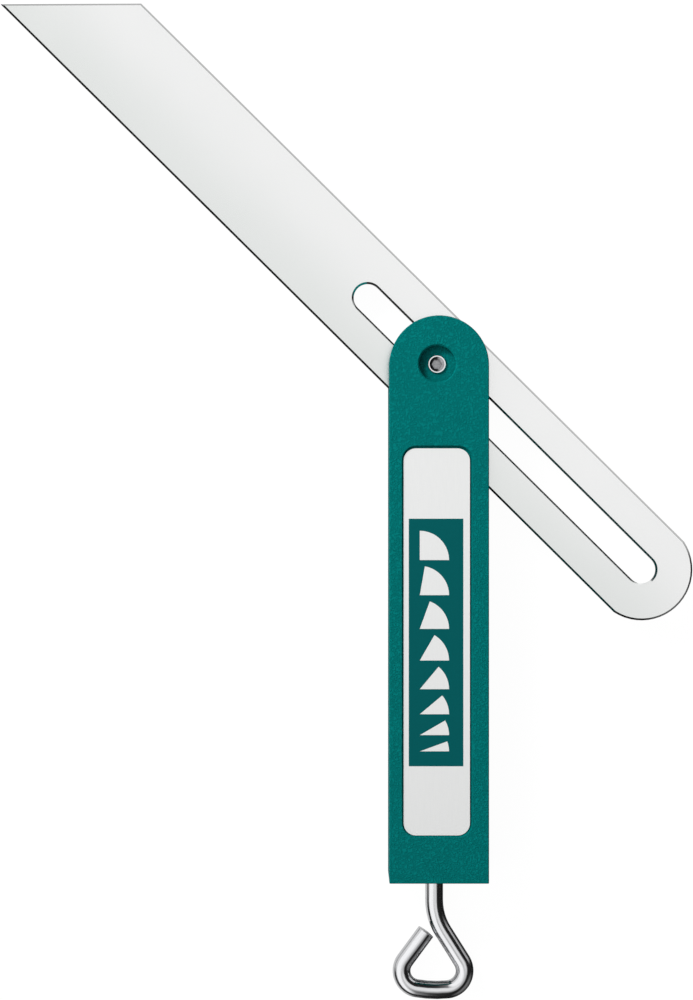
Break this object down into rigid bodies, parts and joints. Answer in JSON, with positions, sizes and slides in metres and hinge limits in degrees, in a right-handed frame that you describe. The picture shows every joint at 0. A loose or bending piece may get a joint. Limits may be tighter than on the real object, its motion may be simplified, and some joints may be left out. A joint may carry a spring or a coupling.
{
  "type": "sliding bevel",
  "caption": "Sliding bevel with a slotted steel blade in a cast handle and a wire hook at the butt that locks the blade's angle and reach.",
  "frame": {"origin": "on the pivot axis, at the handle's rear face, on which the tool lies", "axes": "+Y along the handle from the butt towards the pivot end, +Z out of the front face, +X to the right as the front face is seen"},
  "size_m": [0.1918, 0.277, 0.02],
  "materials": {
    "handle_paint": "fine-textured teal powder coat on cast aluminium",
    "blade_steel": "satin stainless steel",
    "label_metal": "printed satin aluminium plate",
    "zinc_steel": "bright zinc-plated steel",
    "plain_steel": "turned steel",
    "washer_fibre": "pressed fibre",
    "brass": "turned brass"
  },
  "bodies": {
    "handle_body": {"handle": "handle_paint", "front_label": "label_metal", "rear_label": "label_metal", "front_washer": "washer_fibre", "pivot_screw": "zinc_steel", "return_spring": "plain_steel", "threaded_insert": "brass"},
    "bush_body": {"pivot_bush": "brass"},
    "blade_body": {"blade": "blade_steel"},
    "pad_body": {"clamp_pad": "plain_steel", "rear_washer": "washer_fibre"},
    "rod_body": {"push_rod": "plain_steel", "thrust_ball": "plain_steel"},
    "hook_body": {"hook_screw": "zinc_steel"}
  },
  "joints": [
    {"name": "blade_pivot", "type": "hinge", "parent": "handle_body", "child": "bush_body", "pos_m": [0, 0, 0.01], "axis": [0, 0, 1], "range_deg": [-212, 122]},
    {"name": "blade_slide", "type": "slide", "parent": "bush_body", "child": "blade_body", "axis": [-0.7102, 0.704, 0], "range_m": [-0.0266, 0.0801]},
    {"name": "hook_turn", "type": "hinge", "parent": "rod_body", "child": "hook_body", "pos_m": [-0.0003, -0.1419, 0.005], "axis": [0, 1, 0], "range_deg": [-360, 0]},
    {"name": "rod_travel", "type": "slide", "parent": "handle_body", "child": "rod_body", "axis": [0, 1, 0], "range_m": [-0.00081, 0], "deforming": ["return_spring"]},
    {"name": "pad_travel", "type": "slide", "parent": "handle_body", "child": "pad_body", "axis": [0, 0, 1], "range_m": [-0.0003, 0]}
  ],
  "couplings": [
    {"joint": "rod_travel", "follows": "hook_turn", "m_per_rad": 0.00012732},
    {"joint": "pad_travel", "follows": "hook_turn", "m_per_rad": 0.000046342}
  ]
}
